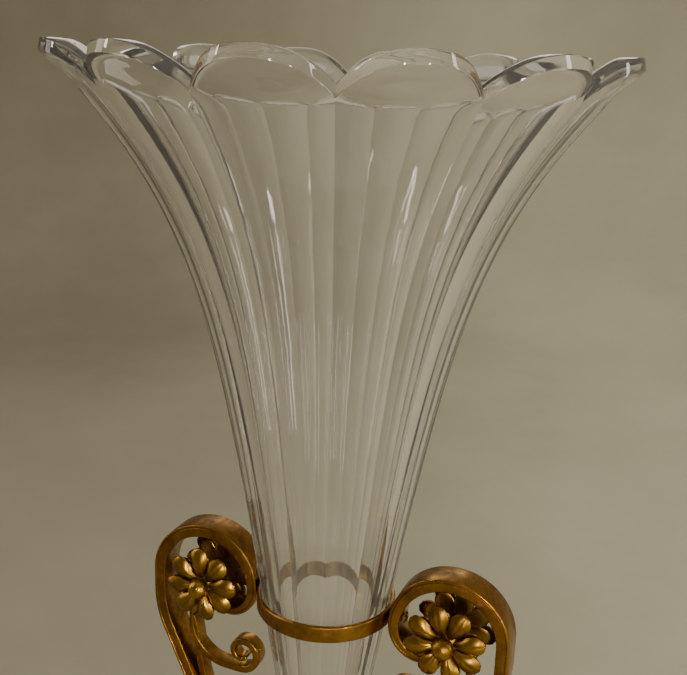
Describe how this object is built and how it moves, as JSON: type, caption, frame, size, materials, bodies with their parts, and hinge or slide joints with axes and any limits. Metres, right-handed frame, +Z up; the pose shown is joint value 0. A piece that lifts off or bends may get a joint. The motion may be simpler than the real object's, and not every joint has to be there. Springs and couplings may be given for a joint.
{
  "type": "trumpet vase with a metal mount",
  "caption": "Fluted cut crystal trumpet vase with a scalloped rim in a gilt-bronze mount of two scroll brackets with flowers",
  "frame": {"origin": "middle of the base on the surface it stands on", "axes": "+X through the right-hand bracket, +Z up along the trumpet's axis"},
  "size_m": [0.2164, 0.2154, 0.4],
  "materials": {
    "crystal": "polished clear cut crystal",
    "gilt_bronze": "aged gilding with brown patina",
    "plain_brass": "plain turned brass",
    "felt": "green felt"
  },
  "bodies": {
    "mount": {"base_plate": "gilt_bronze", "bead_ring": "gilt_bronze", "bracket_screw_left": "gilt_bronze", "bracket_screw_right": "gilt_bronze", "collar_ring": "gilt_bronze", "cup_seat": "felt", "flower_button_left_back": "gilt_bronze", "flower_button_left_front": "gilt_bronze", "flower_button_right_back": "gilt_bronze", "flower_button_right_front": "gilt_bronze", "flower_left_back": "gilt_bronze", "flower_left_front": "gilt_bronze", "flower_pin_left": "gilt_bronze", "flower_pin_right": "gilt_bronze", "flower_right_back": "gilt_bronze", "flower_right_front": "gilt_bronze", "foot_1": "gilt_bronze", "foot_2": "gilt_bronze", "foot_3": "gilt_bronze", "foot_4": "gilt_bronze", "inner_curl_left": "gilt_bronze", "inner_curl_right": "gilt_bronze", "ring_rivet_left": "gilt_bronze", "ring_rivet_right": "gilt_bronze", "scroll_bracket_left": "gilt_bronze", "scroll_bracket_right": "gilt_bronze", "socket_cup": "gilt_bronze", "stem": "gilt_bronze", "tie_nut": "plain_brass", "tie_rod": "plain_brass", "tie_washer": "plain_brass"},
    "trumpet": {"crystal_trumpet": "crystal"}
  },
  "joints": [
    {"name": "trumpet_lift", "type": "slide", "parent": "mount", "child": "trumpet", "axis": [0, 0, 1], "range_m": [0, 0.12]}
  ]
}
